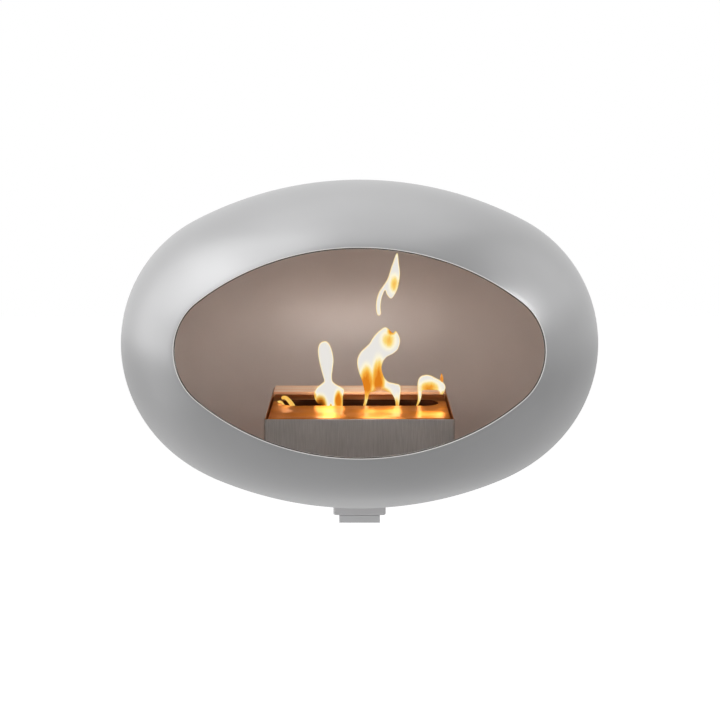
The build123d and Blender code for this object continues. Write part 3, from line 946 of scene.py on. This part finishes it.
def flame_vapour():
    """Glowing gas: white where it is full and amber where it is thin, as stored with each point.
    The eye sees it at plain white, and all else gets the strong light that it really gives."""
    material = new_material("burning spirit vapour")
    place = add_node(material, "ShaderNodeTexCoord").outputs["Object"]
    drawn = add_node(material, "ShaderNodeMapping", {"Vector": place, "Scale": UP_FLAME})
    streaks = add_node(
        material,
        "ShaderNodeTexNoise",
        {"Vector": drawn.outputs["Vector"], "Scale": per_metre(FLICKER_MM), "Detail": 2.0},
    )
    uneven = add_node(
        material,
        "ShaderNodeMapRange",
        {
            "Value": streaks.outputs["Fac"],
            "From Min": 0.3,
            "From Max": 0.7,
            "To Min": 0.8,
            "To Max": 1.15,
        },
    )
    warmth = add_node(material, "ShaderNodeAttribute", attribute_name="warmth").outputs["Fac"]
    streaked = add_node(
        material,
        "ShaderNodeMath",
        {0: warmth, 1: uneven.outputs["Result"]},
        operation="MULTIPLY",
    )
    colour = add_node(
        material,
        "ShaderNodeValToRGB",
        {"Fac": streaked.outputs["Value"]},
        stops=[
            (0.0, "#E9E6E1"), (0.2, "#FDF6DC"), (0.45, "#FBDB7C"), (0.7, "#F6AE3E"), (1.0, "#E0801C"),
        ],
    )
    seen = add_node(material, "ShaderNodeLightPath").outputs["Is Camera Ray"]
    tint = add_node(
        material,
        "ShaderNodeMix",
        {"Factor": seen, "A": linear(FLAME_LIGHT), "B": colour.outputs["Color"]},
        data_type="RGBA",
    )
    height = add_node(material, "ShaderNodeSeparateXYZ", {"Vector": place}).outputs["Z"]
    by_height = add_node(
        material,
        "ShaderNodeMapRange",
        {
            "Value": height,
            "From Min": PLATE_TOP,
            "From Max": PLATE_TOP + FULL_POWER_HEIGHT,
            "To Min": FLAME_POWER * LOW_POWER_SHARE,
            "To Max": FLAME_POWER,
        },
    )
    by_thinness = add_node(
        material, "ShaderNodeMapRange", {"Value": warmth, "To Min": 1.0, "To Max": THIN_POWER_SHARE}
    )
    given = add_node(
        material,
        "ShaderNodeMath",
        {0: by_height.outputs["Result"], 1: by_thinness.outputs["Result"]},
        operation="MULTIPLY",
    )
    power = add_node(
        material, "ShaderNodeMix", {"Factor": seen, "A": given.outputs["Value"], "B": 1.0}
    )
    glow = add_node(
        material,
        "ShaderNodeEmission",
        {"Color": tint.outputs["Result"], "Strength": power.outputs["Result"]},
    )
    clear = add_node(material, "ShaderNodeBsdfTransparent")
    body = add_node(material, "ShaderNodeAttribute", attribute_name="body").outputs["Fac"]
    mixed = add_node(
        material,
        "ShaderNodeMixShader",
        {"Fac": body, 1: clear.outputs["BSDF"], 2: glow.outputs["Emission"]},
    )
    add_node(material, "ShaderNodeOutputMaterial", {"Surface": mixed.outputs["Shader"]})
    return material


def flame(name, outline, thin_places, lean):
    """A rounded, swaying sheet of flame inside an outline, amber and see-through where it is thin."""
    loop = [point / MM_PER_METRE for point in smooth_loop(outline)]
    flat, triangles = filled_loop(loop)
    depths = [distance_to_loop(point, loop) for point in flat]
    points, warmths, bodies, behind = [], [], [], {}
    for side in (-1, 1):
        for index, (point, depth) in enumerate(zip(flat, depths)):
            if side == 1 and depth < ON_OUTLINE:
                behind[index] = index
                continue
            if side == 1:
                behind[index] = len(points)
            fullness = math.sqrt(1 - (1 - min(1, depth / FLAME_ROUNDING)) ** 2)
            sway = FLAME_SWAY * math.sin(point.y * SWAY_RADIANS_PER_METRE + lean)
            sway += LEAN_PER_METRE * point.y * math.sin(lean)
            y = SLOT_Y + sway + side * FLAME_THICKNESS * fullness
            points.append(Vector((point.x, y, PLATE_TOP + point.y)))
            amber, solid = thin_places_at(point, thin_places)
            warmths.append(max(amber, EDGE_WARMTH * max(0.0, 1 - depth / FLAME_EDGE)))
            bodies.append(solid)
    faces = [tuple(triangle) for triangle in triangles]
    faces += [tuple(behind[index] for index in reversed(triangle)) for triangle in triangles]
    piece = mesh_piece(name, points, faces, [vapour])
    for label, values in (("warmth", warmths), ("body", bodies)):
        attribute = piece.data.attributes.new(label, "FLOAT", "POINT")
        attribute.data.foreach_set("value", values)
    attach(piece, "burner")
    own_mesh(piece)


vapour = flame_vapour()
flame("flame_spoon", spoon_outline, spoon_thin, lean=0.3)
flame("flame_tall", tall_outline, tall_thin, lean=1.7)
flame("flame_loose", loose_outline, loose_thin, lean=2.6)
flame("flame_arched", arched_outline, arched_thin, lean=4.0)
flame("flame_tip", tip_outline, tip_thin, lean=4.0)
flame("flame_low", low_outline, low_thin, lean=5.2)
flame("flame_wisp", wisp_outline, low_thin, lean=5.2)


# Studio
# A pale matt floor well below the wall-hung fireplace, a white surround and square soft lamps.
FLOOR_DROP = 0.75
FLOOR_HALF = 6.0
FLOOR_LIFT = 0.8
SKY_LIGHT = 0.22
LAMP_DISTANCE = 1.9
# What share of the white that the eye sees is mirrored in the object.
FLOOR_MIRRORED = 0.6
SKY_MIRRORED = 1.0


def lamp(name, azimuth, elevation, size, power, distance=LAMP_DISTANCE):
    """A square soft lamp aimed at the dome, placed in degrees right of the camera and above it."""
    data = bpy.data.lights.new(name, "AREA")
    data.shape = "SQUARE"
    data.size = size
    data.energy = power
    holder = bpy.data.objects.new(name, data)
    turn, rise = math.radians(azimuth), math.radians(elevation)
    toward = Vector(
        (math.sin(turn) * math.cos(rise), -math.cos(turn) * math.cos(rise), math.sin(rise))
    )
    holder.location = CENTRE + toward * distance
    holder.rotation_euler = toward.to_track_quat("Z", "Y").to_euler()
    bpy.context.collection.objects.link(holder)


def background_share(material, mirrored_share):
    """How much of the white background a ray gets: all if seen or let through, a share if mirrored."""
    path = add_node(material, "ShaderNodeLightPath").outputs
    dimmed = add_node(
        material,
        "ShaderNodeMath",
        {0: path["Is Glossy Ray"], 1: mirrored_share},
        operation="MULTIPLY",
    )
    mirrored = add_node(
        material,
        "ShaderNodeMath",
        {0: path["Is Camera Ray"], 1: dimmed.outputs["Value"]},
        operation="MAXIMUM",
    )
    share = add_node(
        material,
        "ShaderNodeMath",
        {0: mirrored.outputs["Value"], 1: path["Is Transmission Ray"]},
        operation="MAXIMUM",
    )
    return share.outputs["Value"]


def floor_paint():
    """Pale matt paint, lifted to white for the eye, that keeps the shadow."""
    material = new_material("pale studio floor")
    paint = add_node(
        material, "ShaderNodeBsdfPrincipled", {"Base Color": linear("#DCDCDC"), "Roughness": 0.9}
    )
    lift = add_node(
        material,
        "ShaderNodeMath",
        {0: background_share(material, FLOOR_MIRRORED), 1: FLOOR_LIFT},
        operation="MULTIPLY",
    )
    white = add_node(
        material,
        "ShaderNodeEmission",
        {"Color": linear("#FFFFFF"), "Strength": lift.outputs["Value"]},
    )
    both = add_node(
        material,
        "ShaderNodeAddShader",
        {0: paint.outputs["BSDF"], 1: white.outputs["Emission"]},
    )
    add_node(material, "ShaderNodeOutputMaterial", {"Surface": both.outputs["Shader"]})
    return material


floor = mesh_piece(
    "studio_floor",
    [
        (-FLOOR_HALF, -FLOOR_HALF, -FLOOR_DROP),
        (FLOOR_HALF, -FLOOR_HALF, -FLOOR_DROP),
        (FLOOR_HALF, FLOOR_HALF, -FLOOR_DROP),
        (-FLOOR_HALF, FLOOR_HALF, -FLOOR_DROP),
    ],
    [(0, 1, 2, 3)],
    [floor_paint()],
)

world = bpy.data.worlds.new("white surround")
world.use_nodes = True
world.node_tree.nodes.clear()
strength = add_node(
    world,
    "ShaderNodeMapRange",
    {"Value": background_share(world, SKY_MIRRORED), "To Min": SKY_LIGHT, "To Max": 1.0},
)
sky = add_node(
    world,
    "ShaderNodeBackground",
    {"Color": linear("#FFFFFF"), "Strength": strength.outputs["Result"]},
)
add_node(world, "ShaderNodeOutputWorld", {"Surface": sky.outputs["Background"]})
bpy.context.scene.world = world

lamp("left lamp, high", -105, 55, size=1.5, power=13.5)
lamp("left lamp, low", -105, 15, size=1.3, power=7)
lamp("left lamp, lower", -98, -12, size=1.0, power=1.8)
lamp("left lamp, side", -85, 35, size=1.3, power=6.5)
lamp("right lamp", 110, 30, size=1.3, power=3)
lamp("right lamp, small", 78, 25, size=0.5, power=6.5)
lamp("back lamp", 180, 60, size=1.4, power=4)
lamp("front lamp", 20, 12, size=0.8, power=2.1, distance=2.2)


# Camera
# In front of the mouth and nine degrees above the dome's middle, as the photograph was taken.
# The focal length and the dome's place are in pixels of the square photograph.
CAMERA_DISTANCE = 1.8
CAMERA_ELEVATION = math.radians(9.0)
FOCAL_PIXELS = 1475.6
IMAGE_PIXELS = 720
DOME_RIGHT_OF_MIDDLE = -0.47
DOME_ABOVE_MIDDLE = 19.43
SENSOR = 36.0

camera_data = bpy.data.cameras.new("camera")
camera_data.sensor_width = SENSOR
camera_data.lens = FOCAL_PIXELS / IMAGE_PIXELS * SENSOR
camera_data.shift_x = -DOME_RIGHT_OF_MIDDLE / IMAGE_PIXELS
camera_data.shift_y = -DOME_ABOVE_MIDDLE / IMAGE_PIXELS
camera = bpy.data.objects.new("camera", camera_data)
camera.location = CENTRE + CAMERA_DISTANCE * Vector(
    (0, -math.cos(CAMERA_ELEVATION), math.sin(CAMERA_ELEVATION))
)
camera.rotation_euler = (math.pi / 2 - CAMERA_ELEVATION, 0, 0)
bpy.context.collection.objects.link(camera)
bpy.context.scene.camera = camera
bpy.context.scene.view_settings.view_transform = "Standard"
